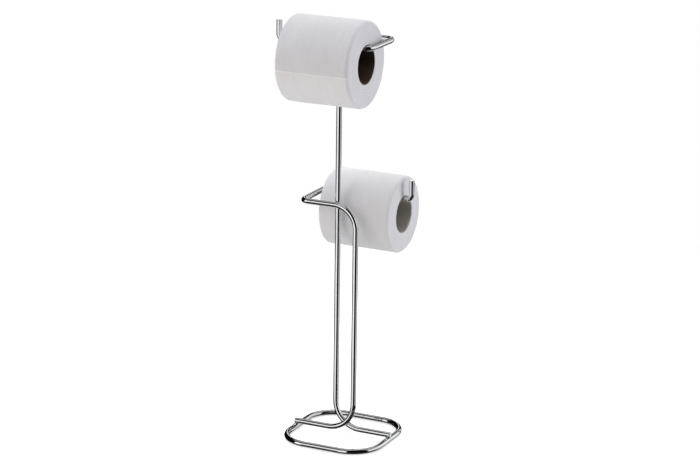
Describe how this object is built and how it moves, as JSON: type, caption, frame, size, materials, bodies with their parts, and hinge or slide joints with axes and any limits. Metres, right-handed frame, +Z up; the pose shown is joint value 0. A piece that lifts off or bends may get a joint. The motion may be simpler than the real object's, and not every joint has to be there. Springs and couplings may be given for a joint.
{
  "type": "toilet roll holder stand",
  "caption": "Free-standing chromed wire stand with a tall front arm and a lower rear arm, each carrying a toilet roll that turns on it.",
  "frame": {"origin": "on the floor, at the centre of the base ring", "axes": "+Z up; +X along the arms, towards the upper arm's side piece and the lower arm's tip; -Y is the front, where the upper roll hangs, and +Y the back, where the spare roll hangs"},
  "size_m": [0.1371, 0.2341, 0.5685],
  "materials": {
    "chromed_wire": "polished",
    "plated_weld": "polished",
    "tissue": "matte",
    "core_board": "matte"
  },
  "bodies": {
    "stand": {"base_ring": "chromed_wire", "ring_butt_weld": "plated_weld", "tall_rod": "chromed_wire", "short_rod": "chromed_wire", "tall_foot_weld": "plated_weld", "short_foot_weld": "plated_weld", "lower_crossing_weld": "plated_weld", "upper_crossing_weld": "plated_weld"},
    "upper_roll": {"upper_core": "core_board", "upper_tissue": "tissue", "upper_last_sheet": "tissue"},
    "lower_roll": {"lower_core": "core_board", "lower_tissue": "tissue", "lower_last_sheet": "tissue"}
  },
  "joints": [
    {"name": "upper_roll_spin", "type": "hinge", "parent": "stand", "child": "upper_roll", "pos_m": [0.009, -0.0701, 0.5144], "axis": [1, 0, 0], "continuous": true},
    {"name": "lower_roll_spin", "type": "hinge", "parent": "stand", "child": "lower_roll", "pos_m": [0.005, 0.0594, 0.2924], "axis": [1, 0, 0], "continuous": true}
  ]
}
